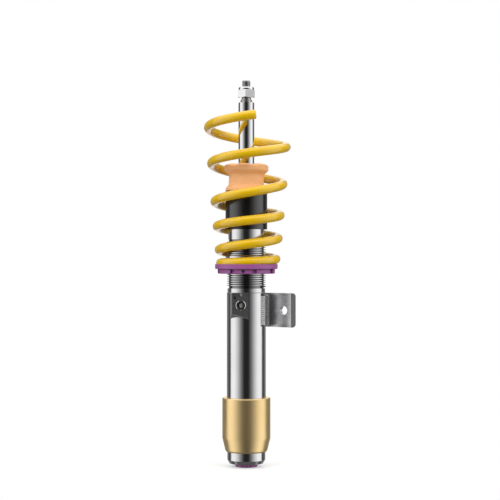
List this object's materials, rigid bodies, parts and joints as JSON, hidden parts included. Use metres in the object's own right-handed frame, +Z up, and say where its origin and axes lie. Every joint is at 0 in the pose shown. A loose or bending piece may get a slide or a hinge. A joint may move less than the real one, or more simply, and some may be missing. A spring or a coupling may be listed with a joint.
{
  "type": "coilover strut",
  "caption": "Height-adjustable twin-tube damper strut with a threaded body, screw-on spring perch, conical coil spring, bump stop, clamp sleeve, sway bar bracket and brake line bracket.",
  "frame": {"origin": "on the strut axis, at the middle of the cylindrical knuckle clamp surface of the adapter sleeve", "axes": "+Z up along the strut axis towards the top nut, -Y towards the front where the brake line bracket faces, +X towards the sway bar bracket"},
  "size_m": [0.1267, 0.1227, 0.534],
  "materials": {
    "stainless": "polished",
    "chrome": "hard chrome plated",
    "gold_anodised": "gold anodised, satin turned",
    "zinc_steel": "bright zinc plated",
    "spring_yellow": "gloss powder coat",
    "purple_composite": "satin moulded",
    "bump_orange": "microcellular polyurethane",
    "black_plastic": "satin moulded",
    "black_rubber": "nitrile rubber",
    "bronze": "plain bearing bronze",
    "band_resin": "filled bearing resin",
    "dark_steel": "phosphated"
  },
  "bodies": {
    "housing": {"lower_tube": "stainless", "threaded_tube": "stainless", "gland_cap": "dark_steel", "rod_seal": "black_rubber", "rod_guide": "dark_steel", "gland_o_ring": "black_rubber", "guide_bush": "bronze", "foot_plug": "stainless", "foot_o_ring": "black_rubber", "knob_circlip": "dark_steel", "base_valve_body": "dark_steel", "base_valve_shims": "stainless", "inner_cylinder": "stainless", "adapter_sleeve": "gold_anodised", "stabilizer_bracket": "zinc_steel", "bracket_saddle": "zinc_steel", "bracket_welds": "zinc_steel", "brake_line_bracket": "zinc_steel", "clinch_nut": "zinc_steel"},
    "band": {"piston_band": "band_resin"},
    "rod": {"piston_rod": "chrome", "top_nut": "zinc_steel", "top_out_bumper": "black_rubber", "rebound_stop_ring": "dark_steel", "piston": "dark_steel", "compression_shims": "stainless", "rebound_shims": "stainless", "piston_nut": "dark_steel"},
    "rebound_screw": {"rebound_adjuster": "bronze"},
    "rebound_rod": {"rebound_needle": "chrome"},
    "seat": {"spring_seat": "purple_composite"},
    "collar": {"adjuster_collar": "purple_composite", "collar_insert": "stainless", "lock_screw": "zinc_steel"},
    "spring": {"coil_spring": "spring_yellow"},
    "knob": {"compression_knob": "purple_composite"},
    "compression_rod": {"compression_needle": "chrome"},
    "bump": {"bump_stop": "bump_orange", "dust_sleeve": "black_plastic"}
  },
  "joints": [
    {"name": "rod_slide", "type": "slide", "parent": "housing", "child": "band", "axis": [0, 0, 1], "range_m": [-0.105, 0], "stiffness_N_per_m": 900, "springref_m": 0.14, "deforming": ["bump_stop"]},
    {"name": "rod_turn", "type": "hinge", "parent": "band", "child": "rod", "pos_m": [0, 0, 0.3], "axis": [0, 0, 1], "continuous": true},
    {"name": "rebound_adjuster_turn", "type": "hinge", "parent": "rod", "child": "rebound_screw", "pos_m": [0, 0, 0.46], "axis": [0, 0, 1], "range_deg": [-180, 180]},
    {"name": "rebound_needle_slide", "type": "slide", "parent": "rod", "child": "rebound_rod", "axis": [0, 0, 1], "range_m": [-0.0005, 0.0005]},
    {"name": "perch_slide", "type": "slide", "parent": "housing", "child": "seat", "axis": [0, 0, 1], "range_m": [-0.018, 0.018]},
    {"name": "perch_turn", "type": "hinge", "parent": "seat", "child": "collar", "pos_m": [0, 0, 0.2], "axis": [0, 0, 1], "range_deg": [-2160, 2160]},
    {"name": "spring_compression", "type": "slide", "parent": "seat", "child": "spring", "axis": [0, 0, 1], "range_m": [-0.106, 0], "deforming": ["coil_spring"]},
    {"name": "compression_knob_turn", "type": "hinge", "parent": "housing", "child": "knob", "pos_m": [0, 0, -0.06], "axis": [0, 0, 1], "range_deg": [-180, 180]},
    {"name": "compression_needle_slide", "type": "slide", "parent": "housing", "child": "compression_rod", "axis": [0, 0, 1], "range_m": [-0.0005, 0.0005]},
    {"name": "bump_stop_slide", "type": "slide", "parent": "housing", "child": "bump", "axis": [0, 0, 1], "range_m": [0, 0.06]}
  ],
  "couplings": [
    {"joint": "rebound_adjuster_turn", "follows": "rebound_needle_slide", "rad_per_m": 6283.2},
    {"joint": "perch_turn", "follows": "perch_slide", "rad_per_m": 2094.4},
    {"joint": "spring_compression", "follows": "rod_slide", "ratio": 1},
    {"joint": "compression_knob_turn", "follows": "compression_needle_slide", "rad_per_m": 6283.2}
  ]
}
